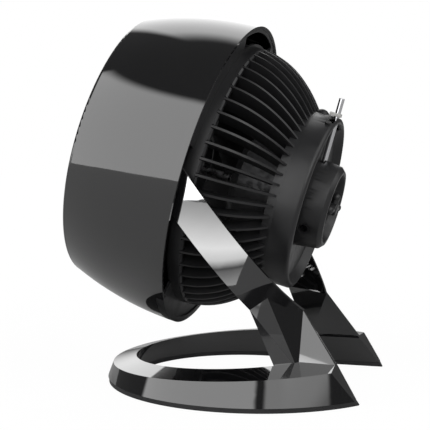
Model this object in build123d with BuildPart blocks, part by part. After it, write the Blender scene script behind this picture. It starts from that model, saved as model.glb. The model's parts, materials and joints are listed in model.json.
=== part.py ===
from build123d import *
import os
from math import asin, cos, degrees, radians, sin, sqrt

os.makedirs("parts", exist_ok=True)

# A table air circulator: a barrel-shaped head, tilted in a horseshoe stand.
# The floor is z = 0, the air leaves towards -Y, and the object is symmetric about x = 0.

# ---------------------------------------------------------------- driving dimensions
# Head: r is measured from its axis, s rearwards along the axis from the shroud's rear rim.
head_tilt = 15.8
rim_y = -2.77
rim_z = 204.0
shroud_gap = 5.4
shroud_mid_draw = 4.4
shroud_front_draw = 18.6
shroud_length = 109.8
shroud_wall = 3.0
nose_depth = 3.0
nose_lip = 6.0
belly_depth = 8.0
belly_half_angle = 40.0

# Tilt pivot, in the row's own axes
pivot_y = -23.17
pivot_z = 216.0

# Inner duct
duct_shelf = 13.9
duct_wall = 2.6
duct_rear_s = -4.0
lug_r = 17.0

# Rear frame and grille
ring_gap = 1.6
ring_wall = 2.6
ring_depth = 7.0
frame_wall = 2.4
slot_top_angle = 77.0
slot_end_angle = 140.0
frame_screw_angles = (30, 70, 150, 210, 290, 330)
finger_half_angle = 21.0
finger_gap = 2.6
finger_margin = 3.5
rib_count = 54
rib_wall = 2.2
rib_height = 15.0
rib_root = 14.0
rib_seat = 1.4
rib_outer_s = 6.5
rib_bend_inset = 3.9
rib_bend_s = 45.0
pad_width = 11.6
pad_depth = 7.5
pad_length = 6.5
pad_height = 2.6
pad_bevel = 1.6

# Hub cup
hub_r = 88.0
hub_front_s = 76.5
hub_rear_s = 99.1
hub_wall = 3.0
hub_rim_r = 4.0
hub_band = 9.0
ledge_reach = 4.0
dish_outer_r = 77.0
dish_s = 91.0
lever_slot_half_angle = 21.0
post_r = 4.0
hub_post_r = 66.0
hub_post_angles = (45, 135, 225, 315)
dome_r = 8.0
dome_s = 79.5
dome_sink = 4.0
stop_angles = (-24.0, 24.0)
stop_s = 93.5

# Control housing on the hub
boss_base_r = 45.0
boss_rear_r = 42.0
boss_length = 21.5
boss_chamfer = 4.0
boss_wall = 3.0
bowl_rim = 3.0
bowl_depth = 8.0
housing_post_inset = 9.0
housing_post_angles = (50, 165, 285)

# Speed lever and knob
lever_r = 2.8
lever_tip_r = 107.0
lever_travel = 15.0
shaft_r = 4.0
lever_hub_r = 9.0
knob_hub_r = 6.5
side_wing_reach = 27.0
top_wing_reach = 16.0
wing_r = 3.6
ball_r = 4.4
wing_s = 115.5
knob_height = 11.0
knob_socket = 6.0
switch_r = 14.0
switch_depth = 11.0
switch_bore_depth = 8.0
guide_width = 9.0
guide_height = 3.4
guide_front_s = 86.8
board_s = 99.5
board_flat = 8.0
block_pitch = (10.0, 22.0)
block_size = (6.0, 9.0)
block_height = 3.0
board_wall = 1.6

# Power inlet
inlet_angle = 121.0
inlet_r = 4.2
inlet_depth = 9.0
inlet_flange_r = 5.4
inlet_s = 98.5
inlet_sink = 0.2
inlet_pin_r = 0.7
inlet_pin_reach = 2.0

# Motor
motor_r = 50.0
motor_front_s = 18.0
motor_wall = 2.5
motor_shaft_r = 4.0
bearing_r = 11.0
bearing_width = 7.0
stator_length = 24.0
rotor_r = 22.0
winding_depth = 5.0
mount_plate_wall = 3.0
motor_flange = 8.0

# Impeller
blade_count = 5
impeller_hub_r = 36.0
impeller_gap = 4.5
impeller_hub_depth = 46.0
impeller_front_s = -72.0
blade_mid_s = -50.0
blade_wall = 2.4
blade_camber = 0.07
blade_root = 8.0
blade_reach = 60.0
# chord and pitch in degrees of each blade's root, middle and tip sections
blade_sections = ((56.0, 46.0), (80.0, 34.0), (92.0, 24.0))
nut_height = 6.0
nut_r = 8.0

# Front grille
grille_wall = 3.0
grille_depth = 5.0
front_rib_count = 40
cap_r = 30.0
cap_dome = 5.0
grille_rib_wall = 2.0
# radius and depth of the hoops that tie the front ribs
front_rings = ((58.0, 1.6), (89.0, 0.2))
grille_screw_inset = 5.5
grille_screw_angles = (45, 135, 225, 315)

# Stand
base_r = 148.6
base_y = 29.73
base_width = 40.6
hole_forward = 13.2
base_bevel = 5.0
lip_height = 4.5
lip_inset = 0.8
inner_edge_z = 28.65
outer_edge_z = 24.55
base_rise = 0.059
end_lean = 0.70
end_trim = 30.6
tip_reach = 24.0
tip_slope = 13.0
root_overlap = 1.5

# Arms: an elliptical hoop seen square to its own sloping plane
arm_slope = 55.4
arm_y = -8.87
arm_z = 226.0
arm_half_width = 146.6
arm_drop = 197.0
arm_band = 34.7
arm_flare = 7.1
arm_wall = 4.0

# Crease between arm and leg: angle down the hoop and depth across the band, front to rear
crease = ((47.0, 34.7), (48.2, 14.0), (50.5, 0.0))

# Legs: corners of the outer face, inwards from the base's tip and forwards from its end
knee_inset = 19.1
knee_setback = 56.2
knee_z = 80.2
foot_front_out = 4.7
foot_front_setback = 76.6
foot_bend_inset = 4.9
foot_bend_setback = 57.9
leg_foot_z = 26.0
leg_crest_z = 32.0
base_roof = 5.0
base_wall = 4.0
base_screw_angles = (0, 50, 95, 125, -50, -95, -125)
arm_top = 14.0
arm_boss_r = 15.0
arm_boss_proud = 0.8
arm_boss_span = 10.8
pin_head = 2.0
leg_wall_knee = 4.0
leg_wall_crease = 18.0
leg_wall_fold = 8.0
leg_wall_foot = 7.6

# Fits and fasteners
fit = 0.05
clearance = 0.4
pin_r = 5.0
pin_head_r = 9.0
pin_head_bevel = 0.6
washer_wall = 1.2
screw_r = 1.6
screw_head_r = 3.0
screw_head = 2.0
screw_length = 10.0

# ---------------------------------------------------------------- planes of the head
tilt = radians(head_tilt)
rear = Vector(0, cos(tilt), -sin(tilt))
up = Vector(0, sin(tilt), cos(tilt))
right = Vector(1, 0, 0)
rim = Vector(0, rim_y, rim_z)
spin = Axis(rim, rear)


def across(s):
    """Plane square to the head's axis at s, its normal rearwards."""
    return Plane(origin=rim + rear * s, x_dir=right, z_dir=rear)


def along(angle=0.0):
    """Plane through the head's axis: x is r, at the angle from the top towards +X, y is s."""
    out = up * cos(radians(angle)) + right * sin(radians(angle))
    return Plane(origin=rim, x_dir=out, z_dir=out.cross(rear))


def radial(angle, s, r):
    """Plane square to the radius at the angle and s, its normal outwards, x along the axis."""
    out = up * cos(radians(angle)) + right * sin(radians(angle))
    return Plane(origin=rim + rear * s + out * r, x_dir=rear, z_dir=out)


def pivot_plane(side, x):
    """Plane square to the pivot, at x from the middle on that side, its normal outwards."""
    return Plane(origin=(side * x, pivot_y, pivot_z), x_dir=(0, 1, 0), z_dir=right * side)


def write(piece, label):
    """Names a finished piece and writes its STEP file."""
    piece.part.label = label
    export_step(piece.part, f"parts/{label}.step")


def turned(points):
    """Closed outline of (r, s) points in the sketch that is open."""
    with BuildLine() as outline:
        Polyline(*points, close=True)
    make_face(outline.edges())


def round_spots(r, angles):
    """Places at the radius and at each angle from the top, in a sketch across the axis."""
    return Locations(*[(r * sin(radians(angle)), -r * cos(radians(angle))) for angle in angles])


def box_turned(r0, r1, s0, s1):
    """Outline of a plain ring's section in the sketch that is open."""
    turned([(r0, s0), (r1, s0), (r1, s1), (r0, s1)])


# ---------------------------------------------------------------- values that pieces share
ring_r = arm_half_width - arm_flare - arm_wall - ring_gap
shroud_bore_r = arm_half_width + shroud_gap
shroud_rear_r = shroud_bore_r + shroud_wall
shroud_mid_r = shroud_rear_r - shroud_mid_draw
shroud_front_r = shroud_rear_r - shroud_front_draw
duct_bore_r = ring_r - duct_shelf
boss_outer_x = arm_half_width + arm_boss_proud
boss_inner_x = boss_outer_x - arm_boss_span
lug_face_x = boss_inner_x - washer_wall - clearance / 2
finger_low_r = ring_r + finger_gap
finger_top_r = shroud_bore_r - finger_margin
rib_outer_r = ring_r - rib_seat
rib_bend_r = ring_r - rib_bend_inset
grille_screw_r = duct_bore_r + grille_screw_inset
hole_r = base_r - base_width
hole_y = base_y - hole_forward
end_y = base_y + base_r - end_trim
tip_floor_x = hole_r - tip_reach
tip_top_x = tip_floor_x - tip_slope
front_s = -shroud_length
nose_s = front_s - nose_depth
nose_bore_r = shroud_front_r - nose_lip
web_front_s = duct_rear_s
web_rear_s = web_front_s + frame_wall
duct_r = duct_bore_r + duct_wall
duct_flange_r = ring_r - ring_wall - 2.0
ledge_s = hub_front_s - mount_plate_wall
band_bore_r = hub_r - hub_wall - 0.5
lever_s = dish_s + lever_r + clearance
boss_rear_s = dish_s + boss_length
boss_top_s = boss_rear_s + boss_chamfer
bowl_floor_s = boss_top_s - bowl_depth
bowl_r = boss_rear_r - boss_chamfer - bowl_rim
housing_post_r = boss_rear_r - housing_post_inset
boss_draft = (boss_base_r - boss_rear_r) / boss_length
board_r = boss_rear_r - boss_wall - 1
inlet_face_r = boss_base_r - boss_draft * (inlet_s - dish_s) - inlet_sink
impeller_r = duct_bore_r - impeller_gap
motor_plate_s = ledge_s
motor_screw_r = motor_r + motor_flange / 2
switch_s = dish_s - hub_wall
shaft_front_s = switch_s - switch_bore_depth + clearance
knob_front_s = bowl_floor_s + clearance
pin_start_x = duct_r + 1 + clearance / 2
base_mid_y = (base_y + hole_y) / 2
base_post_r = (base_r + hole_r) / 2
frame_screw_r = duct_r + (duct_flange_r - duct_r) / 2

# ---------------------------------------------------------------- shroud
with BuildPart() as shroud:
    with BuildSketch(along()):
        with BuildLine():
            ThreePointArc((shroud_rear_r, 0), (shroud_mid_r, front_s / 2), (shroud_front_r, front_s))
            ThreePointArc(
                (shroud_front_r, front_s),
                (shroud_front_r - nose_depth * 0.3, nose_s + nose_depth * 0.3),
                (shroud_front_r - nose_depth, nose_s),
            )
            Polyline(
                (shroud_front_r - nose_depth, nose_s),
                (nose_bore_r, nose_s),
                (nose_bore_r, front_s),
                (shroud_front_r - shroud_wall, front_s),
            )
            ThreePointArc(
                (shroud_front_r - shroud_wall, front_s),
                (shroud_mid_r - shroud_wall, front_s / 2),
                (shroud_bore_r, 0),
            )
            Line((shroud_bore_r, 0), (shroud_rear_r, 0))
        make_face()
    revolve(axis=spin)
    with BuildSketch(along(180 - belly_half_angle)):
        box_turned(shroud_bore_r - 5, shroud_rear_r + 5, -belly_depth, 1)
    revolve(axis=spin, revolution_arc=2 * belly_half_angle, mode=Mode.SUBTRACT)
write(shroud, "shroud")

# ---------------------------------------------------------------- inner duct with the pivot lugs
with BuildPart() as duct:
    with BuildSketch(along()):
        turned(
            [
                (duct_bore_r - 1, web_front_s),
                (duct_flange_r, web_front_s),
                (duct_flange_r, web_front_s - duct_wall),
                (duct_r, web_front_s - duct_wall),
                (duct_r, front_s + duct_wall),
                (shroud_front_r - shroud_wall - clearance, front_s + duct_wall),
                (shroud_front_r - shroud_wall - clearance, front_s),
                (duct_bore_r - 1, front_s),
            ]
        )
    revolve(axis=spin)
    for side in (-1, 1):
        with BuildSketch(pivot_plane(side, lug_face_x)):
            Circle(lug_r)
        extrude(amount=-(lug_face_x - duct_bore_r + 4))
    with BuildSketch(along()):
        box_turned(0, duct_bore_r, front_s - 1, web_front_s + 1)
    revolve(axis=spin, mode=Mode.SUBTRACT)
    for side in (-1, 1):
        with BuildSketch(pivot_plane(side, lug_face_x)):
            Circle(pin_r + fit)
        extrude(amount=-(lug_face_x - duct_r - 1), mode=Mode.SUBTRACT)
    with BuildSketch(across(web_front_s)):
        with round_spots(frame_screw_r, frame_screw_angles):
            Circle(screw_r)
    extrude(amount=-duct_wall, mode=Mode.SUBTRACT)
    with BuildSketch(across(front_s)):
        with round_spots(grille_screw_r, grille_screw_angles):
            Circle(screw_r)
    extrude(amount=duct_wall, mode=Mode.SUBTRACT)
write(duct, "inner_duct")

# ---------------------------------------------------------------- rear frame
with BuildPart() as rear_frame:
    with BuildSketch(along()):
        box_turned(duct_bore_r, ring_r, web_front_s, web_rear_s)
    revolve(axis=spin)
    with BuildSketch(along(-slot_top_angle)):
        box_turned(ring_r - 1, shroud_bore_r - clearance / 2, web_front_s, web_rear_s)
    revolve(axis=spin, revolution_arc=2 * slot_top_angle)
    with BuildSketch(along(slot_end_angle)):
        box_turned(ring_r - 1, shroud_bore_r - clearance / 2, web_front_s, web_rear_s)
    revolve(axis=spin, revolution_arc=2 * (180 - slot_end_angle))
    belly_span = belly_half_angle - degrees(clearance / shroud_rear_r)
    with BuildSketch(along(180 - belly_span)):
        box_turned(
            shroud_bore_r - clearance / 2 - frame_wall, shroud_rear_r, -belly_depth + clearance, 0
        )
    revolve(axis=spin, revolution_arc=2 * belly_span)
    with BuildSketch(along(-finger_half_angle)):
        box_turned(finger_low_r, finger_top_r, web_front_s - 1, web_rear_s + 1)
    revolve(axis=spin, revolution_arc=2 * finger_half_angle, mode=Mode.SUBTRACT)
    with BuildSketch(across(web_rear_s)):
        with round_spots(frame_screw_r, frame_screw_angles):
            Circle(screw_r + clearance / 2)
    extrude(amount=-frame_wall, mode=Mode.SUBTRACT)
write(rear_frame, "rear_frame")

# ---------------------------------------------------------------- rear grille
rib_angles = [index * 360 / rib_count for index in range(rib_count)]
with BuildPart() as rear_grille:
    with BuildSketch(along()):
        box_turned(ring_r - ring_wall, ring_r - clearance / 2, web_rear_s, ring_depth)
    revolve(axis=spin)
    with BuildSketch(*[along(angle) for angle in rib_angles]):
        with BuildLine():
            Bezier((rib_outer_r + 1, rib_outer_s), (rib_bend_r, rib_bend_s), (hub_r - 1, hub_front_s - 1))
            Polyline(
                (hub_r - 1, hub_front_s - 1),
                (hub_r - 1, ledge_s - clearance),
                (hub_r - rib_root, ledge_s - clearance),
                (hub_r - rib_root, hub_front_s - hub_band),
            )
            Bezier(
                (hub_r - rib_root, hub_front_s - hub_band),
                (rib_bend_r - rib_height, rib_bend_s - rib_height / 2),
                (rib_outer_r - rib_height, web_rear_s + 1),
            )
            Polyline(
                (rib_outer_r - rib_height, web_rear_s + 1),
                (rib_outer_r + 1, web_rear_s + 1),
                (rib_outer_r + 1, rib_outer_s),
            )
        make_face()
    extrude(amount=rib_wall / 2, both=True)
    with BuildSketch(*[along(angle + 180 / rib_count) for angle in rib_angles]):
        turned(
            [
                (rib_outer_r + 1, ring_depth - pad_length),
                (rib_outer_r + 1, ring_depth + pad_height - pad_bevel),
                (rib_outer_r + 1 - pad_bevel, ring_depth + pad_height),
                (rib_outer_r + 1 - pad_depth + pad_bevel, ring_depth + pad_height),
                (rib_outer_r + 1 - pad_depth, ring_depth + pad_height - pad_bevel),
                (rib_outer_r + 1 - pad_depth, ring_depth - pad_length),
            ]
        )
    extrude(amount=pad_width / 2, both=True)
    with Locations(rim + rear * dome_s + up * (hub_r - dome_sink)):
        Sphere(dome_r + clearance, mode=Mode.SUBTRACT)
    with BuildSketch(along()):
        turned(
            [
                (band_bore_r, hub_front_s - hub_band),
                (hub_r, hub_front_s - hub_band),
                (hub_r, hub_front_s),
                (band_bore_r, hub_front_s),
                (band_bore_r, ledge_s),
                (band_bore_r - ledge_reach, ledge_s),
                (band_bore_r - ledge_reach, ledge_s - hub_wall),
                (band_bore_r, ledge_s - hub_wall),
            ]
        )
    revolve(axis=spin)
write(rear_grille, "rear_grille")

# ---------------------------------------------------------------- hub cup
with BuildPart() as hub_cup:
    with BuildSketch(along()):
        with BuildLine():
            Line((hub_r, hub_front_s), (hub_r, hub_rear_s - hub_rim_r))
            RadiusArc(
                (hub_r, hub_rear_s - hub_rim_r), (hub_r - hub_rim_r, hub_rear_s), -hub_rim_r
            )
            Polyline(
                (hub_r - hub_rim_r, hub_rear_s),
                (dish_outer_r + hub_rim_r + 1.5, hub_rear_s),
                (dish_outer_r, dish_s),
                (0, dish_s),
                (0, dish_s - hub_wall),
                (dish_outer_r - hub_wall / 2, dish_s - hub_wall),
                (dish_outer_r + hub_wall, dish_s + hub_wall),
                (hub_r - hub_wall, dish_s + hub_wall),
                (hub_r - hub_wall, hub_front_s),
                (hub_r, hub_front_s),
            )
        make_face()
    revolve(axis=spin)
    with Locations(rim + rear * dome_s + up * (hub_r - dome_sink)):
        Sphere(dome_r)
    with BuildSketch(along()):
        box_turned(
            hub_r - hub_wall - 2 * dome_r, hub_r - hub_wall, hub_front_s - 2 * dome_r, dish_s - hub_wall
        )
    revolve(axis=spin, mode=Mode.SUBTRACT)
    with BuildSketch(along()):
        box_turned(hub_r - 2 * dome_r, hub_r + clearance, hub_front_s - 2 * dome_r, hub_front_s)
    revolve(axis=spin, mode=Mode.SUBTRACT)
    with BuildSketch(*[radial(angle, stop_s, hub_r) for angle in stop_angles]):
        Circle(screw_r)
    extrude(amount=-screw_length / 2, mode=Mode.SUBTRACT)
    with BuildSketch(along(-lever_slot_half_angle)):
        box_turned(dish_outer_r - 6, hub_r + 3, dish_s, lever_s + lever_r + clearance)
    revolve(axis=spin, revolution_arc=2 * lever_slot_half_angle, mode=Mode.SUBTRACT)
    with BuildSketch(across(dish_s - hub_wall)):
        with round_spots(hub_post_r, hub_post_angles):
            Circle(post_r)
    extrude(amount=-(dish_s - hub_wall - hub_front_s))
    with BuildSketch(across(hub_front_s)):
        with round_spots(hub_post_r, hub_post_angles):
            Circle(screw_r)
    extrude(amount=screw_length - mount_plate_wall + 1, mode=Mode.SUBTRACT)
    with BuildSketch(across(dish_s - hub_wall)):
        Circle(shaft_r + clearance)
        with round_spots(housing_post_r, housing_post_angles):
            Circle(screw_r + clearance / 2)
    extrude(amount=hub_wall, mode=Mode.SUBTRACT)
write(hub_cup, "hub_cup")

# ---------------------------------------------------------------- control housing
with BuildPart() as control_housing:
    with BuildSketch(along()):
        turned(
            [
                (boss_base_r, dish_s),
                (boss_rear_r, boss_rear_s),
                (boss_rear_r - boss_chamfer, boss_top_s),
                (bowl_r, boss_top_s),
                (bowl_r - boss_wall, bowl_floor_s),
                (0, bowl_floor_s),
                (0, bowl_floor_s - boss_wall),
                (boss_rear_r - boss_wall - 1, bowl_floor_s - boss_wall),
                (boss_base_r - boss_wall, dish_s),
            ]
        )
    revolve(axis=spin)
    with BuildSketch(across(dish_s)):
        with round_spots(housing_post_r, housing_post_angles):
            Circle(post_r)
    extrude(amount=bowl_floor_s - boss_wall - dish_s)
    with BuildSketch(across(dish_s)):
        with round_spots(housing_post_r, housing_post_angles):
            Circle(screw_r)
    extrude(amount=screw_length - hub_wall + 1, mode=Mode.SUBTRACT)
    with BuildSketch(across(bowl_floor_s)):
        Circle(shaft_r + clearance)
    extrude(amount=-boss_wall, mode=Mode.SUBTRACT)
    slot_half_angle = lever_travel + degrees(asin((lever_r + 2 * clearance) / (boss_rear_r - boss_wall)))
    with BuildSketch(along(-slot_half_angle)):
        box_turned(boss_rear_r - 3 * boss_wall, boss_base_r + 1, dish_s, lever_s + lever_r + clearance)
    revolve(axis=spin, revolution_arc=2 * slot_half_angle, mode=Mode.SUBTRACT)
    with BuildSketch(radial(inlet_angle, inlet_s, boss_base_r + 5)):
        Circle(inlet_flange_r + clearance / 4)
    extrude(amount=-(5 + boss_wall + 6), mode=Mode.SUBTRACT)
write(control_housing, "control_housing")

# ---------------------------------------------------------------- power inlet, a round socket with a pin
with BuildPart() as power_inlet:
    with BuildSketch(radial(inlet_angle, inlet_s, inlet_face_r)):
        Circle(inlet_flange_r)
    extrude(amount=-inlet_depth - boss_wall)
    with BuildSketch(radial(inlet_angle, inlet_s, inlet_face_r)):
        Circle(inlet_r)
    extrude(amount=-inlet_depth, mode=Mode.SUBTRACT)
    with BuildSketch(radial(inlet_angle, inlet_s, inlet_face_r - inlet_depth)):
        with GridLocations(2 * inlet_pin_reach, 1, 2, 1):
            Circle(inlet_pin_r)
    extrude(amount=inlet_depth - 2)
write(power_inlet, "power_inlet")

# ---------------------------------------------------------------- speed lever, guide, switch and knob
with BuildPart() as speed_lever:
    with BuildSketch(radial(0, lever_s, shaft_r + 1)):
        Circle(lever_r)
    extrude(amount=lever_tip_r - shaft_r - 1)
    fillet(speed_lever.edges().sort_by(Axis(rim, up))[-1], radius=lever_r / 4)
    with BuildSketch(across(lever_s)):
        Circle(lever_hub_r)
    extrude(amount=lever_r + clearance / 2, both=True)
    with BuildSketch(across(lever_s)):
        Circle(shaft_r)
    extrude(amount=2 * lever_r, both=True, mode=Mode.SUBTRACT)
write(speed_lever, "speed_lever")

with BuildPart() as lever_guide:
    guide_r = hub_r + clearance
    guide_half_angle = degrees(asin(guide_width / 2 / guide_r))
    with BuildSketch(along(-guide_half_angle)):
        box_turned(guide_r, guide_r + guide_height, guide_front_s, lever_s + lever_r + 1)
    revolve(axis=spin, revolution_arc=2 * guide_half_angle)
    fillet(lever_guide.edges().filter_by(Axis(rim, rear)), radius=0.8)
    with BuildSketch(radial(0, lever_s, hub_r - 5)):
        Circle(lever_r + fit)
    extrude(amount=20, mode=Mode.SUBTRACT)
write(lever_guide, "lever_guide")

with BuildPart() as switch_shaft:
    with BuildSketch(across(shaft_front_s)):
        Circle(shaft_r)
    extrude(amount=knob_front_s + knob_socket - shaft_front_s)
write(switch_shaft, "switch_shaft")

with BuildPart() as speed_switch:
    with BuildSketch(across(switch_s)):
        Circle(switch_r)
    extrude(amount=-switch_depth)
    with BuildSketch(across(switch_s)):
        Circle(shaft_r + fit)
    extrude(amount=-switch_bore_depth, mode=Mode.SUBTRACT)
write(speed_switch, "speed_switch")

ball_neck = sqrt(ball_r**2 - wing_r**2)
with BuildPart() as control_knob:
    with BuildSketch(across(knob_front_s)):
        Circle(knob_hub_r)
    extrude(amount=knob_height)
    fillet(control_knob.edges().sort_by(Axis(rim, rear))[-1], radius=2)
    for angle, wing_reach in ((0, top_wing_reach), (90, side_wing_reach), (-90, side_wing_reach)):
        out = up * cos(radians(angle)) + right * sin(radians(angle))
        with BuildSketch(Plane(origin=rim + rear * wing_s, x_dir=out, z_dir=out.cross(rear))):
            with BuildLine():
                Polyline((2, 0), (2, wing_r), (wing_reach - ball_r - ball_neck, wing_r))
                ThreePointArc(
                    (wing_reach - ball_r - ball_neck, wing_r), (wing_reach - ball_r, ball_r), (wing_reach, 0)
                )
                Line((wing_reach, 0), (2, 0))
            make_face()
        revolve(axis=Axis(rim + rear * wing_s, out))
    with BuildSketch(across(knob_front_s)):
        Circle(shaft_r)
    extrude(amount=knob_socket, mode=Mode.SUBTRACT)
write(control_knob, "control_knob")

with BuildPart() as circuit_board:
    with BuildSketch(across(board_s)):
        with BuildLine():
            board_half = sqrt(board_r**2 - board_flat**2)
            ThreePointArc((-board_flat, -board_half), (-board_r, 0), (-board_flat, board_half))
            Line((-board_flat, board_half), (-board_flat, -board_half))
        make_face()
        with round_spots(housing_post_r, housing_post_angles):
            Circle(post_r + clearance, mode=Mode.SUBTRACT)
    extrude(amount=board_wall)
    with BuildSketch(across(board_s)):
        with Locations((-board_r / 2, 0)):
            with GridLocations(*block_pitch, 2, 2):
                Rectangle(*block_size)
    extrude(amount=-block_height)
write(circuit_board, "circuit_board")

# ---------------------------------------------------------------- motor
bearing_seat = 3.0
motor_bore_r = motor_r - motor_wall
tube_r = bearing_r + bearing_seat
front_bearing_s = motor_front_s + motor_wall
rear_bearing_s = motor_plate_s - 1 - bearing_width
with BuildPart() as motor_housing:
    with BuildSketch(along()):
        turned(
            [
                (motor_shaft_r + 2, motor_front_s),
                (motor_r - 8, motor_front_s),
                (motor_r, motor_front_s + 8),
                (motor_r, motor_plate_s - motor_wall),
                (motor_r + motor_flange, motor_plate_s - motor_wall),
                (motor_r + motor_flange, motor_plate_s),
                (motor_bore_r, motor_plate_s),
                (motor_bore_r, motor_front_s + 10),
                (motor_r - 10, front_bearing_s),
                (tube_r, front_bearing_s),
                (tube_r, front_bearing_s + bearing_width),
                (bearing_r, front_bearing_s + bearing_width),
                (bearing_r, front_bearing_s),
                (motor_shaft_r + 2, front_bearing_s),
            ]
        )
    revolve(axis=spin)
    with BuildSketch(across(motor_plate_s)):
        with round_spots(motor_screw_r, hub_post_angles):
            Circle(screw_r)
    extrude(amount=-motor_wall, mode=Mode.SUBTRACT)
write(motor_housing, "motor_housing")

with BuildPart() as motor_plate:
    with BuildSketch(along()):
        turned(
            [
                (motor_shaft_r + 2, motor_plate_s),
                (bearing_r, motor_plate_s),
                (bearing_r, rear_bearing_s),
                (tube_r, rear_bearing_s),
                (tube_r, motor_plate_s),
                (band_bore_r - clearance / 2, motor_plate_s),
                (band_bore_r - clearance / 2, hub_front_s),
                (motor_shaft_r + 2, hub_front_s),
            ]
        )
    revolve(axis=spin)
    with BuildSketch(across(motor_plate_s)):
        with round_spots(hub_post_r, hub_post_angles):
            Circle(screw_r + clearance / 2)
        with round_spots(motor_screw_r, hub_post_angles):
            Circle(screw_r + clearance / 2)
    extrude(amount=mount_plate_wall, mode=Mode.SUBTRACT)
write(motor_plate, "motor_plate")

for label, start in (("front_bearing", front_bearing_s), ("rear_bearing", rear_bearing_s)):
    with BuildPart() as bearing:
        with BuildSketch(across(start)):
            Circle(bearing_r)
            Circle(motor_shaft_r + fit, mode=Mode.SUBTRACT)
        extrude(amount=bearing_width)
        chamfer(bearing.edges().filter_by(GeomType.CIRCLE).group_by(Axis(rim, rear))[-1], length=0.4)
    write(bearing, label)

stator_s = (front_bearing_s + bearing_width + rear_bearing_s - stator_length) / 2
with BuildPart() as stator:
    with BuildSketch(across(stator_s)):
        Circle(motor_bore_r)
        Circle(rotor_r + 1, mode=Mode.SUBTRACT)
        with PolarLocations(rotor_r + 10, 8):
            Rectangle(9, 6, mode=Mode.SUBTRACT)
    extrude(amount=stator_length)
write(stator, "stator")

with BuildPart() as windings:
    for start in (stator_s - winding_depth, stator_s + stator_length):
        with BuildSketch(across(start)):
            Circle(motor_bore_r - 4)
            Circle(rotor_r + 3, mode=Mode.SUBTRACT)
        extrude(amount=winding_depth)
write(windings, "windings")

with BuildPart() as rotor:
    with BuildSketch(across(stator_s)):
        Circle(rotor_r)
        Circle(motor_shaft_r, mode=Mode.SUBTRACT)
    extrude(amount=stator_length)
write(rotor, "rotor")

with BuildPart() as motor_shaft:
    with BuildSketch(across(impeller_front_s - nut_height)):
        Circle(motor_shaft_r)
    extrude(amount=rear_bearing_s + bearing_width - impeller_front_s + nut_height)
write(motor_shaft, "motor_shaft")

# ---------------------------------------------------------------- impeller
blade_root_r = impeller_hub_r - blade_root
blade_radii = (blade_root_r, (blade_root_r + duct_bore_r) / 2, duct_bore_r)
with BuildPart() as impeller:
    for index in range(blade_count):
        angle = index * 360 / blade_count
        out = up * cos(radians(angle)) + right * sin(radians(angle))
        edge = out.cross(rear)
        for r, (chord, pitch) in zip(blade_radii, blade_sections):
            slope = radians(pitch)
            plane = Plane(
                origin=rim + rear * blade_mid_s + out * r,
                x_dir=edge * cos(slope) + rear * sin(slope),
                z_dir=out,
            )
            with BuildSketch(plane):
                with BuildLine():
                    bow = ThreePointArc((-chord / 2, 0), (0, chord * blade_camber), (chord / 2, 0))
                    ThreePointArc(bow @ 1, (0, chord * blade_camber + blade_wall), bow @ 0)
                make_face()
        loft()
    with BuildSketch(along()):
        box_turned(0, impeller_r, blade_mid_s - blade_reach, blade_mid_s + blade_reach)
    revolve(axis=spin, mode=Mode.INTERSECT)
    with BuildSketch(along()):
        with BuildLine():
            Line((motor_shaft_r, impeller_front_s), (impeller_hub_r - 12, impeller_front_s))
            ThreePointArc(
                (impeller_hub_r - 12, impeller_front_s),
                (impeller_hub_r - 3.5, impeller_front_s + 3.5),
                (impeller_hub_r, impeller_front_s + 12),
            )
            Polyline(
                (impeller_hub_r, impeller_front_s + 12),
                (impeller_hub_r, impeller_front_s + impeller_hub_depth),
                (impeller_hub_r - 3, impeller_front_s + impeller_hub_depth),
                (impeller_hub_r - 3, impeller_front_s + 12),
                (impeller_hub_r - 12, impeller_front_s + 4),
                (motor_shaft_r + 5, impeller_front_s + 4),
                (motor_shaft_r + 5, impeller_front_s + impeller_hub_depth),
                (motor_shaft_r, impeller_front_s + impeller_hub_depth),
                (motor_shaft_r, impeller_front_s),
            )
        make_face()
    revolve(axis=spin)
    with BuildSketch(along()):
        box_turned(motor_shaft_r + 5, impeller_hub_r - 3, impeller_front_s + 12, blade_mid_s + blade_reach)
    revolve(axis=spin, mode=Mode.SUBTRACT)
write(impeller, "impeller")

with BuildPart() as impeller_nut:
    with BuildSketch(across(impeller_front_s - nut_height)):
        RegularPolygon(nut_r, 6)
        Circle(motor_shaft_r, mode=Mode.SUBTRACT)
    extrude(amount=nut_height)
write(impeller_nut, "impeller_nut")

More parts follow.
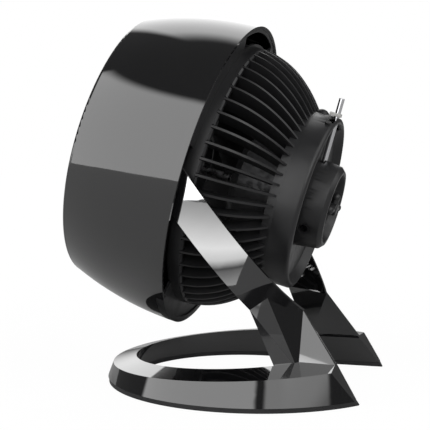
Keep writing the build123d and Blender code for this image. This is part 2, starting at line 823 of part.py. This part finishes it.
# ---------------------------------------------------------------- front grille and its cap
grille_ring_r = nose_bore_r - clearance
cap_ring_r = cap_r + 1.0
with BuildPart() as front_grille:
    with BuildSketch(along()):
        box_turned(duct_bore_r - grille_wall, grille_ring_r, nose_s, front_s)
    revolve(axis=spin)
    with BuildSketch(along()):
        turned(
            [
                (0, front_s + grille_depth),
                (cap_ring_r - 5, front_s + grille_depth),
                (cap_ring_r - 5, front_s + 2),
                (cap_ring_r, front_s + 2),
                (cap_ring_r, front_s + grille_depth + grille_wall),
                (0, front_s + grille_depth + grille_wall),
            ]
        )
    revolve(axis=spin)
    with BuildSketch(*[along(index * 360 / front_rib_count) for index in range(front_rib_count)]):
        with BuildLine():
            ThreePointArc(
                (duct_bore_r - 1, nose_s + 0.6),
                (duct_bore_r * 0.6, front_s + 1.2),
                (cap_ring_r - 1, front_s + 2.6),
            )
            Line((cap_ring_r - 1, front_s + 2.6), (cap_ring_r - 1, front_s + grille_depth + 2.6))
            ThreePointArc(
                (cap_ring_r - 1, front_s + grille_depth + 2.6),
                (duct_bore_r * 0.6, front_s + grille_depth + 1.2),
                (duct_bore_r - 1, front_s - 0.4),
            )
            Line((duct_bore_r - 1, front_s - 0.4), (duct_bore_r - 1, nose_s + 0.6))
        make_face()
    extrude(amount=grille_rib_wall / 2, both=True)
    for r, s in front_rings:
        with BuildSketch(along()):
            box_turned(r - 1.2, r + 1.2, front_s + s, front_s + s + 3.5)
        revolve(axis=spin)
    with BuildSketch(across(nose_s)):
        with round_spots(grille_screw_r, grille_screw_angles):
            Circle(screw_head_r + clearance / 2)
    extrude(amount=screw_head, mode=Mode.SUBTRACT)
    with BuildSketch(across(nose_s)):
        with round_spots(grille_screw_r, grille_screw_angles):
            Circle(screw_r + clearance / 2)
    extrude(amount=nose_depth, mode=Mode.SUBTRACT)
write(front_grille, "front_grille")

cap_bow_r = (cap_r**2 + cap_dome**2) / (2 * cap_dome)
cap_mid_s = front_s + 2 - cap_dome + cap_bow_r - sqrt(cap_bow_r**2 - (cap_r / 2) ** 2)
with BuildPart() as centre_cap:
    with BuildSketch(along()):
        with BuildLine():
            Line((0, front_s + grille_depth), (cap_ring_r - 5 - clearance / 2, front_s + grille_depth))
            Line(
                (cap_ring_r - 5 - clearance / 2, front_s + grille_depth),
                (cap_ring_r - 5 - clearance / 2, front_s + 2),
            )
            Line((cap_ring_r - 5 - clearance / 2, front_s + 2), (cap_r, front_s + 2))
            ThreePointArc(
                (cap_r, front_s + 2), (cap_r / 2, cap_mid_s), (0, front_s + 2 - cap_dome)
            )
            Line((0, front_s + 2 - cap_dome), (0, front_s + grille_depth))
        make_face()
    revolve(axis=spin)
write(centre_cap, "centre_cap")

# ---------------------------------------------------------------- base ring
def rising(z):
    """Plane of the base's top, square to its rise, through the height z at y = 0."""
    return Plane(origin=(0, 0, z), x_dir=(1, 0, 0), z_dir=(0, -base_rise, 1))


tip_lean = tip_slope / (leg_crest_z - lip_height)
foot_front_y = end_y - foot_front_setback
leg_root_y = foot_front_y - root_overlap
end_cut = Plane(origin=(0, end_y, 0), x_dir=(1, 0, 0), z_dir=(0, 1, end_lean))


def hole_outline(root_x, inset=0.0):
    """The base's hole and the gap between the legs' roots, in the sketch that is open."""
    with Locations((0, hole_y)):
        Circle(hole_r + inset)
    for side in (-1, 1):
        with Locations((side * (root_x + hole_r), leg_root_y + inset + hole_r)):
            Rectangle(2 * hole_r, 2 * hole_r, mode=Mode.SUBTRACT)
    with Locations((0, hole_y + hole_r)):
        Rectangle(2 * root_x, 2 * hole_r)


def base_spots():
    """Places of the base's screws, round the middle of the ring from its front."""
    turns = [radians(angle) for angle in base_screw_angles]
    return Locations(*[(base_post_r * sin(turn), base_mid_y - base_post_r * cos(turn)) for turn in turns])


with BuildPart() as base_ring:
    with BuildSketch(Plane.XY.offset(lip_height)):
        with Locations((0, base_y)):
            Circle(base_r)
    with BuildSketch(rising(outer_edge_z)):
        with Locations((0, base_y)):
            Circle(base_r - base_bevel)
    loft()
    with BuildSketch(rising(outer_edge_z)):
        with Locations((0, base_y)):
            Circle(base_r - base_bevel)
    with BuildSketch(rising(inner_edge_z)):
        with Locations((0, hole_y)):
            Circle(hole_r - clearance)
    loft()
    with BuildSketch(Plane.XY):
        hole_outline(tip_top_x)
    extrude(amount=2 * inner_edge_z, mode=Mode.SUBTRACT)
    with BuildSketch(Plane.XZ.offset(-leg_root_y)):
        with BuildLine():
            Polyline(
                (-tip_floor_x, lip_height),
                (tip_floor_x, lip_height),
                (tip_top_x, leg_crest_z),
                (-tip_top_x, leg_crest_z),
                close=True,
            )
        make_face()
    extrude(amount=-base_r, mode=Mode.SUBTRACT)
    split(bisect_by=end_cut, keep=Keep.BOTTOM)
    with BuildSketch(rising(outer_edge_z - base_roof)):
        with Locations((0, base_y)):
            Circle(base_r - base_bevel - base_wall)
        with Locations((0, hole_y)):
            Circle(hole_r + base_wall, mode=Mode.SUBTRACT)
        with Locations((0, leg_root_y - 15 - 2 * base_r)):
            Rectangle(4 * base_r, 4 * base_r, mode=Mode.INTERSECT)
    extrude(amount=-outer_edge_z, mode=Mode.SUBTRACT)
    with BuildSketch(rising(outer_edge_z - base_roof + 1)):
        with base_spots():
            Circle(post_r)
    extrude(amount=-outer_edge_z)
    split(bisect_by=Plane.XY.offset(lip_height), keep=Keep.TOP)
    with BuildSketch(Plane.XY.offset(lip_height)):
        with base_spots():
            Circle(screw_r)
    extrude(amount=screw_length - 2, mode=Mode.SUBTRACT)
write(base_ring, "base_ring")

with BuildPart() as foot_ring:
    with BuildSketch(Plane.XY):
        with Locations((0, base_y)):
            Circle(base_r - lip_inset)
    extrude(amount=lip_height)
    with BuildSketch(Plane.XY):
        hole_outline(tip_floor_x + lip_inset, lip_inset)
    extrude(amount=lip_height, mode=Mode.SUBTRACT)
    split(bisect_by=end_cut, keep=Keep.BOTTOM)
    with BuildSketch(Plane.XY):
        with base_spots():
            Circle(screw_r + clearance / 2)
    extrude(amount=lip_height, mode=Mode.SUBTRACT)
    with BuildSketch(Plane.XY):
        with base_spots():
            Circle(screw_head_r + clearance / 2)
    extrude(amount=screw_head + clearance, mode=Mode.SUBTRACT)
write(foot_ring, "foot_ring")

# ---------------------------------------------------------------- arms with their legs
arm_down = Vector(0, cos(radians(arm_slope)), -sin(radians(arm_slope)))
arm_square = Vector(0, sin(radians(arm_slope)), cos(radians(arm_slope)))
hoop_centre = Vector(0, arm_y, arm_z)
hoop = Plane(origin=hoop_centre, x_dir=right, z_dir=arm_square)


def hoop_point(angle, depth):
    """Point of the arm's outer face, at the angle down the hoop and the depth across the band."""
    share = depth / arm_band
    half_width = arm_half_width - arm_flare * share
    drop = arm_drop + arm_flare * share
    return (
        hoop_centre
        + right * half_width * cos(radians(angle))
        + arm_down * drop * sin(radians(angle))
        - arm_square * depth
    )


# Corners of the leg: the crease, the knee and the foot outside, then the same inside
foot_inner_x = tip_floor_x - tip_lean * (leg_foot_z - lip_height)
foot_rear_y = end_y - end_lean * leg_foot_z
crease_front, crease_mid, crease_rear = [hoop_point(angle, depth) for angle, depth in crease]
leg_knee = Vector(tip_floor_x - knee_inset, end_y - knee_setback, knee_z)
foot_front = Vector(tip_floor_x + foot_front_out, foot_front_y, leg_foot_z)
foot_bend = Vector(tip_floor_x - foot_bend_inset, end_y - foot_bend_setback, leg_foot_z)
foot_rear = Vector(foot_inner_x + leg_wall_foot, foot_rear_y, leg_foot_z)
inner_rear = Vector(foot_inner_x, foot_rear_y, leg_foot_z)
inner_front = Vector(foot_inner_x, foot_front_y, leg_foot_z)
inner_knee = leg_knee + (foot_rear - leg_knee).cross(foot_bend - leg_knee).normalized() * leg_wall_knee
inner_crease = crease_front - right * leg_wall_crease
inner_fold = crease_mid - right * leg_wall_fold
leg_top = Plane(origin=crease_front, z_dir=right.cross(leg_knee - crease_front))
leg_faces = (
    (crease_front, crease_mid, foot_bend),
    (crease_front, foot_bend, foot_front),
    (crease_mid, crease_rear, leg_knee),
    (crease_mid, leg_knee, foot_bend),
    (foot_bend, leg_knee, foot_rear),
    (inner_crease, inner_front, inner_knee),
    (inner_front, inner_rear, inner_knee),
    (crease_front, foot_front, inner_front),
    (crease_front, inner_front, inner_crease),
    (leg_knee, inner_knee, inner_rear),
    (leg_knee, inner_rear, foot_rear),
    (crease_mid, crease_front, inner_fold),
    (crease_rear, crease_mid, inner_fold),
    (leg_knee, crease_rear, inner_fold),
    (inner_fold, crease_front, inner_crease),
    (inner_fold, inner_crease, leg_knee),
    (leg_knee, inner_crease, inner_knee),
    (foot_front, foot_bend, foot_rear, inner_rear, inner_front),
)
leg_body = Solid(Shell([Face(Wire.make_polygon(corners[::-1], close=True)) for corners in leg_faces]))

with BuildPart() as right_arm:
    with BuildSketch(hoop):
        Ellipse(arm_half_width, arm_drop)
    with BuildSketch(hoop.offset(-arm_band)):
        Ellipse(arm_half_width - arm_flare, arm_drop + arm_flare)
    loft()
    with BuildSketch(hoop):
        Ellipse(arm_half_width - arm_wall, arm_drop - arm_wall)
    with BuildSketch(hoop.offset(-arm_band)):
        Ellipse(arm_half_width - arm_flare - arm_wall, arm_drop + arm_flare - arm_wall)
    loft(mode=Mode.SUBTRACT)
    split(bisect_by=Plane.YZ, keep=Keep.TOP)
    split(bisect_by=leg_top, keep=Keep.TOP)
    split(bisect_by=Plane(origin=hoop_centre - arm_down * arm_top, z_dir=arm_down), keep=Keep.TOP)
    add(leg_body)
    with BuildSketch(pivot_plane(1, boss_inner_x)):
        Circle(arm_boss_r)
    extrude(amount=boss_outer_x - boss_inner_x)
    with BuildSketch(pivot_plane(1, boss_inner_x)):
        Circle(pin_r + fit)
    extrude(amount=boss_outer_x - boss_inner_x, mode=Mode.SUBTRACT)
    with BuildSketch(pivot_plane(1, boss_outer_x)):
        Circle(arm_boss_r)
    extrude(amount=6, mode=Mode.SUBTRACT)
    add(base_ring.part, mode=Mode.SUBTRACT)
write(right_arm, "right_arm")

with BuildPart() as left_arm:
    mirror(right_arm.part, about=Plane.YZ)
write(left_arm, "left_arm")

# ---------------------------------------------------------------- tilt pivots
pin_head_x = boss_outer_x + clearance / 2
for label, side in (("right_pivot_pin", 1), ("left_pivot_pin", -1)):
    with BuildPart() as pivot_pin:
        with BuildSketch(pivot_plane(side, pin_start_x)):
            Circle(pin_r)
        extrude(amount=pin_head_x - pin_start_x)
        with BuildSketch(pivot_plane(side, pin_head_x)):
            Circle(pin_head_r)
        extrude(amount=pin_head)
        rims = pivot_pin.edges().filter_by(GeomType.CIRCLE).sort_by(Axis.X)
        chamfer(rims[-1] if side > 0 else rims[0], length=pin_head_bevel)
    write(pivot_pin, label)

with BuildPart() as friction_washers:
    for side in (-1, 1):
        with BuildSketch(pivot_plane(side, lug_face_x)):
            Circle(arm_boss_r - 2)
            Circle(pin_r + clearance, mode=Mode.SUBTRACT)
        extrude(amount=washer_wall)
write(friction_washers, "friction_washers")

# ---------------------------------------------------------------- screws
def screw(plane, length):
    """Pan screw whose head stands on the plane, its shank against the plane's normal."""
    with BuildSketch(plane) as head:
        Circle(screw_head_r)
    extrude(head.sketch, amount=screw_head)
    with BuildSketch(plane) as shank:
        Circle(screw_r)
    extrude(shank.sketch, amount=-length)


def spot(plane, r, angle):
    """The plane moved to the radius and the angle about the head's axis."""
    out = up * cos(radians(angle)) + right * sin(radians(angle))
    return Plane(origin=plane.origin + out * r, x_dir=plane.x_dir, z_dir=plane.z_dir)


with BuildPart() as frame_screws:
    for angle in frame_screw_angles:
        screw(spot(across(web_rear_s), frame_screw_r, angle), frame_wall + duct_wall - clearance)
write(frame_screws, "frame_screws")

with BuildPart() as hub_screws:
    for angle in hub_post_angles:
        screw(spot(-across(motor_plate_s), hub_post_r, angle), screw_length)
write(hub_screws, "hub_screws")

with BuildPart() as motor_screws:
    for angle in hub_post_angles:
        screw(spot(across(hub_front_s), motor_screw_r, angle), mount_plate_wall + motor_wall - clearance)
write(motor_screws, "motor_screws")

with BuildPart() as housing_screws:
    for angle in housing_post_angles:
        screw(spot(-across(dish_s - hub_wall), housing_post_r, angle), screw_length)
write(housing_screws, "housing_screws")

with BuildPart() as grille_screws:
    for angle in grille_screw_angles:
        screw(spot(-across(nose_s + screw_head), grille_screw_r, angle), nose_depth - screw_head + duct_wall)
write(grille_screws, "grille_screws")

with BuildPart() as stop_screws:
    for angle in stop_angles:
        screw(radial(angle, stop_s, hub_r), screw_length / 2)
write(stop_screws, "stop_screws")

with BuildPart() as base_screws:
    for spot_of_base in base_spots().locations:
        place = spot_of_base.position + Vector(0, 0, screw_head + clearance)
        screw(Plane(origin=place, z_dir=(0, 0, -1)), screw_length - clearance)
write(base_screws, "base_screws")
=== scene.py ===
import json
import math

import bpy
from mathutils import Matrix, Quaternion, Vector


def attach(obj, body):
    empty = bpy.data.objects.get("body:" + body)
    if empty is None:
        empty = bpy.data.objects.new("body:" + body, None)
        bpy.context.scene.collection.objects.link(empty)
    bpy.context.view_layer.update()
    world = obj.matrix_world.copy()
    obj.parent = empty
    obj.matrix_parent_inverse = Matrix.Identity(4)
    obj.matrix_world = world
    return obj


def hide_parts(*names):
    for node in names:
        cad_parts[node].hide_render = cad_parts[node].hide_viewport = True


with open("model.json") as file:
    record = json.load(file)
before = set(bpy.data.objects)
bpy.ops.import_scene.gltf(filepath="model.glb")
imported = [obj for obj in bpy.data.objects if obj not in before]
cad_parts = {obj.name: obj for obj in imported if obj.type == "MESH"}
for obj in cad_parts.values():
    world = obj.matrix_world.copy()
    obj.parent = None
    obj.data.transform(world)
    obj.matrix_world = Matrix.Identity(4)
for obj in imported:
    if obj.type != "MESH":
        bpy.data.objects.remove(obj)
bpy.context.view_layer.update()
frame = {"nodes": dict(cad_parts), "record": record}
nodes = frame["nodes"]
bodies = frame["record"]["behaviour"]["bodies"]
body_of = {node: body for body, members in bodies.items() for node in members}
slot_of = {part["node"]: part["material_slot"] for part in frame["record"]["subparts"]}

# The camera stands level with the head, off its rear quarter
CAMERA_AZIMUTH = math.radians(105.94)
CAMERA_ELEVATION = math.radians(2.53)
CAMERA_DISTANCE = 1.086
AIM = Vector((0, -0.01617, 0.190))
SENSOR = 36.0
LENS = 89.1
SHIFT = (0.0073, -0.0590)

# Moulded copies: how near two corners are one, how flat two faces are one, and the broken edge
MERGE_DISTANCE = 0.00001
FLAT_ANGLE = math.radians(0.3)
EDGE_WIDTH = 0.0005
EDGE_SEGMENTS = 2
CREASE_ANGLE = math.radians(32.0)

# Floor: what the object sees of it, then the white that covers most of it for the camera
FLOOR_SIZE = 12
FLOOR_TONE = 0.5
FLOOR_ROUGHNESS = 0.9
FLOOR_WHITE = 1.07
FLOOR_WHITE_SHARE = 0.9

# Studio walls as the head sees them: azimuth from and to, height from and to,
# softness of the sides and of the ends in degrees, brightness
STUDIO_PANELS = (
    ((10, 103), (-6, 54), (2, 3), 1.7),
    ((268, 304), (6, 62), (4, 8), 1.3),
    ((110, 160), (5, 42), (2, 2), 1.2),
    ((124, 222), (14, 60), (5, 8), 1.1),
)
STUDIO_DIM = 0.07

# Soft lamps for each arm, given for the right one: name, place, aim, roll in degrees, size, power,
# brightness at each height from the lower edge (0) to the upper one (1)
ARM_LAMPS = (
    (
        "upper_card", (0.3862, -0.1612, 0.1060), (0.1552, 0.0005, 0.2086), -35, (0.22, 0.075), 0.52,
        ((0.0, 1.0),),
    ),
    (
        "middle_card", (0.2099, -0.0345, 0.0817), (0.1269, -0.0169, 0.1667), -25, (0.2, 0.097), 0.337,
        (
            (0.0, 0.3), (0.19, 0.1), (0.22, 0.01), (0.25, 0.2), (0.33, 0.75),
            (0.47, 1.0), (0.68, 0.71), (0.83, 0.5), (1.0, 0.33),
        ),
    ),
)


def maths(tree, operation, *terms):
    """Adds a maths node and gives its result."""
    node = tree.nodes.new("ShaderNodeMath")
    node.operation = operation
    for socket, term in zip(node.inputs, terms):
        if isinstance(term, (int, float)):
            socket.default_value = term
        else:
            tree.links.new(term, socket)
    return node.outputs["Value"]


def soft_step(tree, value, start, end, low=0.0, high=1.0):
    """Goes smoothly from low to high as the value goes from start to end."""
    node = tree.nodes.new("ShaderNodeMapRange")
    node.interpolation_type = "SMOOTHSTEP"
    node.inputs["From Min"].default_value = start
    node.inputs["From Max"].default_value = end
    node.inputs["To Min"].default_value = low
    node.inputs["To Max"].default_value = high
    tree.links.new(value, node.inputs["Value"])
    return node.outputs["Result"]


def new_paint(name):
    """Gives a new material, its tree and its shader."""
    paint = bpy.data.materials.new(name)
    paint.use_nodes = True
    return paint, paint.node_tree, paint.node_tree.nodes["Principled BSDF"]


def wander(tree, scale, detail=3.0):
    """Noise over the piece's own coordinates."""
    place = tree.nodes.new("ShaderNodeTexCoord")
    noise = tree.nodes.new("ShaderNodeTexNoise")
    noise.inputs["Scale"].default_value = scale
    noise.inputs["Detail"].default_value = detail
    tree.links.new(place.outputs["Object"], noise.inputs["Vector"])
    return noise.outputs["Fac"]


def times(colour, factor):
    """The same hue, darker or lighter."""
    return [channel * factor for channel in colour]


def tone_between(tree, shader, factor, dark, light):
    """Base colour that wanders between two tones."""
    tone = tree.nodes.new("ShaderNodeMix")
    tone.data_type = "RGBA"
    tone.inputs["A"].default_value = (*dark, 1)
    tone.inputs["B"].default_value = (*light, 1)
    tree.links.new(factor, tone.inputs["Factor"])
    tree.links.new(tone.outputs["Result"], shader.inputs["Base Color"])


def skin(tree, shader, relief, strength, depth):
    """Fine relief of the surface."""
    bump = tree.nodes.new("ShaderNodeBump")
    bump.inputs["Strength"].default_value = strength
    bump.inputs["Distance"].default_value = depth
    tree.links.new(relief, bump.inputs["Height"])
    tree.links.new(bump.outputs["Normal"], shader.inputs["Normal"])


def piano_gloss(name, colour, roughness=0.05):
    """Polished moulding: deep colour, a hard clear skin, a breath of orange peel and faint wipe marks."""
    paint, tree, shader = new_paint(name)
    tone_between(tree, shader, wander(tree, scale=9.0), dark=times(colour, 0.8), light=times(colour, 1.2))
    wiping = wander(tree, scale=35.0, detail=5.0)
    marks = soft_step(tree, wiping, start=0.45, end=0.75, low=roughness * 0.8, high=roughness * 1.5)
    tree.links.new(marks, shader.inputs["Roughness"])
    skin(tree, shader, wander(tree, scale=130.0, detail=1.0), strength=0.012, depth=0.0004)
    shader.inputs["Specular IOR Level"].default_value = 0.9
    shader.inputs["Coat Weight"].default_value = 1.0
    shader.inputs["Coat IOR"].default_value = 1.6
    shader.inputs["Coat Roughness"].default_value = 0.02
    return paint


def grained_plastic(name, colour, roughness, grain=0.3, grain_scale=1500.0):
    """Moulded plastic with a fine even grain and a slightly uneven sheen."""
    paint, tree, shader = new_paint(name)
    cloud = wander(tree, scale=14.0, detail=5.0)
    tone_between(tree, shader, cloud, dark=times(colour, 0.8), light=times(colour, 1.2))
    wear = wander(tree, scale=60.0, detail=4.0)
    sheen = soft_step(tree, wear, start=0.3, end=0.7, low=roughness * 0.88, high=roughness * 1.15)
    tree.links.new(sheen, shader.inputs["Roughness"])
    skin(tree, shader, wander(tree, grain_scale, detail=2.0), strength=grain, depth=0.00012)
    return paint


def worked_metal(name, colour, roughness, metallic=1.0, grain=0.1, grain_scale=700.0):
    """Plated, ground or enamelled metal with faint handling marks."""
    paint, tree, shader = new_paint(name)
    cloud = wander(tree, scale=30.0, detail=4.0)
    tone_between(tree, shader, cloud, dark=times(colour, 0.85), light=colour)
    handling = wander(tree, scale=180.0, detail=6.0)
    marks = soft_step(tree, handling, start=0.35, end=0.75, low=roughness * 0.75, high=roughness * 1.6)
    tree.links.new(marks, shader.inputs["Roughness"])
    skin(tree, shader, wander(tree, grain_scale, detail=3.0), strength=grain, depth=0.00006)
    shader.inputs["Metallic"].default_value = metallic
    return paint


finishes = {
    "gloss_black": piano_gloss("gloss_black", (0.006, 0.006, 0.0065)),
    "matte_black": grained_plastic("matte_black", (0.017, 0.017, 0.018), roughness=0.36),
    "chrome": worked_metal("chrome", (0.82, 0.82, 0.84), roughness=0.06, grain=0.02),
    "pale_plastic": grained_plastic("pale_plastic", (0.52, 0.52, 0.5), roughness=0.38),
    "steel": worked_metal("steel", (0.48, 0.48, 0.49), roughness=0.28),
    "black_steel": worked_metal("black_steel", (0.05, 0.05, 0.05), roughness=0.24, metallic=0.8),
    "motor_metal": worked_metal(
        "motor_metal", (0.035, 0.035, 0.037), roughness=0.45, metallic=0.3, grain=0.3
    ),
    "inner_plastic": grained_plastic("inner_plastic", (0.018, 0.018, 0.018), roughness=0.55),
    "copper": worked_metal("copper", (0.5, 0.2, 0.1), roughness=0.32, grain=0.4, grain_scale=2500.0),
    "board": grained_plastic("board", (0.02, 0.1, 0.035), roughness=0.32, grain=0.15, grain_scale=900.0),
}
for label, node in nodes.items():
    node.data.materials.clear()
    node.data.materials.append(finishes[slot_of[label]])


def finished_copy(label):
    """Copy of a moulded node with its doubles merged, its edges broken and its faces smooth."""
    piece = bpy.data.objects.new(f"{label}_moulding", nodes[label].data.copy())
    bpy.context.scene.collection.objects.link(piece)
    bpy.ops.object.select_all(action="DESELECT")
    piece.select_set(True)
    bpy.context.view_layer.objects.active = piece
    bpy.ops.mesh.customdata_custom_splitnormals_clear()
    bpy.ops.object.mode_set(mode="EDIT")
    bpy.ops.mesh.select_all(action="SELECT")
    bpy.ops.mesh.remove_doubles(threshold=MERGE_DISTANCE)
    bpy.ops.mesh.dissolve_limited(angle_limit=FLAT_ANGLE)
    bpy.ops.object.mode_set(mode="OBJECT")
    rounding = piece.modifiers.new("rounding", "BEVEL")
    rounding.width = EDGE_WIDTH
    rounding.segments = EDGE_SEGMENTS
    rounding.limit_method = "ANGLE"
    rounding.angle_limit = CREASE_ANGLE
    rounding.use_clamp_overlap = True
    bpy.ops.object.modifier_apply(modifier=rounding.name)
    bpy.ops.object.shade_smooth_by_angle(angle=CREASE_ANGLE)
    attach(piece, body_of[label])
    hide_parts(label)


for label in ("hub_cup", "control_housing"):
    finished_copy(label)

# Floor: white to the camera but for the object's shadow
bpy.ops.object.select_all(action="DESELECT")
bpy.ops.mesh.primitive_plane_add(size=FLOOR_SIZE, location=(0, 0, 0))
floor = bpy.context.object
floor.name = "floor"
floor_paint, tree, shader = new_paint("floor_paint")
shader.inputs["Base Color"].default_value = (FLOOR_TONE, FLOOR_TONE, FLOOR_TONE, 1)
shader.inputs["Roughness"].default_value = FLOOR_ROUGHNESS
ray = tree.nodes.new("ShaderNodeLightPath")
white = tree.nodes.new("ShaderNodeEmission")
white.inputs["Strength"].default_value = FLOOR_WHITE
veil = tree.nodes.new("ShaderNodeMixShader")
share = maths(tree, "MULTIPLY", ray.outputs["Is Camera Ray"], FLOOR_WHITE_SHARE)
tree.links.new(share, veil.inputs[0])
tree.links.new(shader.outputs[0], veil.inputs[1])
tree.links.new(white.outputs[0], veil.inputs[2])
tree.links.new(veil.outputs[0], tree.nodes["Material Output"].inputs[0])
floor.data.materials.append(floor_paint)

# Studio: white to the camera, soft panels in a dim room to the object
world = bpy.data.worlds.new("studio")
bpy.context.scene.world = world
world.use_nodes = True
tree = world.node_tree
heading = tree.nodes.new("ShaderNodeTexCoord")
toward = tree.nodes.new("ShaderNodeSeparateXYZ")
tree.links.new(heading.outputs["Generated"], toward.inputs[0])
turn = maths(tree, "ARCTAN2", toward.outputs["X"], maths(tree, "MULTIPLY", toward.outputs["Y"], -1.0))
azimuth = maths(tree, "FLOORED_MODULO", maths(tree, "DEGREES", turn), 360.0)
height = maths(tree, "DEGREES", maths(tree, "ARCSINE", toward.outputs["Z"]))
level = STUDIO_DIM
for sides, ends, (side_soft, end_soft), brightness in STUDIO_PANELS:
    panel = brightness
    for value, (start, end), soft in ((azimuth, sides, side_soft), (height, ends, end_soft)):
        rise = soft_step(tree, value, start - soft, start + soft)
        panel = maths(tree, "MULTIPLY", rise, panel)
        fall = soft_step(tree, value, end - soft, end + soft, low=1.0, high=0.0)
        panel = maths(tree, "MULTIPLY", fall, panel)
    level = maths(tree, "ADD", panel, level)
sight = tree.nodes.new("ShaderNodeLightPath")
room = tree.nodes["Background"]
room.inputs["Color"].default_value = (1, 1, 1, 1)
blank = tree.nodes.new("ShaderNodeBackground")
blank.inputs["Color"].default_value = (1, 1, 1, 1)
tree.links.new(level, room.inputs["Strength"])
choice = tree.nodes.new("ShaderNodeMixShader")
tree.links.new(sight.outputs["Is Camera Ray"], choice.inputs[0])
tree.links.new(room.outputs[0], choice.inputs[1])
tree.links.new(blank.outputs[0], choice.inputs[2])
tree.links.new(choice.outputs[0], tree.nodes["World Output"].inputs["Surface"])


def softbox(name, place, aim, roll, size, power, profile):
    """Rectangular lamp that faces the aim, brighter and darker up its height, and isn't seen itself."""
    lamp = bpy.data.lights.new(name, "AREA")
    lamp.shape = "RECTANGLE"
    lamp.size, lamp.size_y = size
    lamp.energy = power
    lamp.use_nodes = True
    glow = lamp.node_tree
    face = glow.nodes.new("ShaderNodeNewGeometry")
    across = glow.nodes.new("ShaderNodeSeparateXYZ")
    grading = glow.nodes.new("ShaderNodeValToRGB")
    glow.links.new(face.outputs["Parametric"], across.inputs[0])
    glow.links.new(across.outputs["Y"], grading.inputs["Fac"])
    steps = grading.color_ramp.elements
    steps[0].position = profile[0][0]
    steps[0].color = (*[profile[0][1]] * 3, 1)
    steps.remove(steps[1])
    for way_up, brightness in profile[1:]:
        steps.new(way_up).color = (*[brightness] * 3, 1)
    glow.links.new(grading.outputs["Color"], glow.nodes["Emission"].inputs["Strength"])
    holder = bpy.data.objects.new(name, lamp)
    bpy.context.scene.collection.objects.link(holder)
    facing = (Vector(aim) - Vector(place)).to_track_quat("-Z", "Y")
    holder.rotation_euler = (facing @ Quaternion((0, 0, 1), math.radians(roll))).to_euler()
    holder.location = place
    holder.visible_camera = False
    return holder


def on_side(side, point):
    """The point as given for the right side (1), or its mirror image on the left (-1)."""
    x, y, z = point
    return (side * x, y, z)


# Each arm is lit by its own lamps, which light nothing else
for side, label in ((1, "right_arm"), (-1, "left_arm")):
    lit = bpy.data.collections.new(f"{label}_lit")
    lit.objects.link(nodes[label])
    for name, place, aim, roll, size, power, profile in ARM_LAMPS:
        lamp = softbox(
            f"{label}_{name}", on_side(side, place), on_side(side, aim), side * roll, size, power, profile
        )
        lamp.light_linking.receiver_collection = lit

# Camera
back = Vector(
    (
        math.sin(CAMERA_AZIMUTH) * math.cos(CAMERA_ELEVATION),
        -math.cos(CAMERA_AZIMUTH) * math.cos(CAMERA_ELEVATION),
        math.sin(CAMERA_ELEVATION),
    )
)
camera = bpy.data.objects.new("camera", bpy.data.cameras.new("camera"))
bpy.context.scene.collection.objects.link(camera)
bpy.context.scene.camera = camera
camera.data.sensor_width = SENSOR
camera.data.lens = LENS
camera.data.shift_x, camera.data.shift_y = SHIFT
camera.location = AIM + back * CAMERA_DISTANCE
camera.rotation_euler = back.to_track_quat("Z", "Y").to_euler()

bpy.context.scene.view_settings.view_transform = "Standard"

bpy.context.view_layer.update()
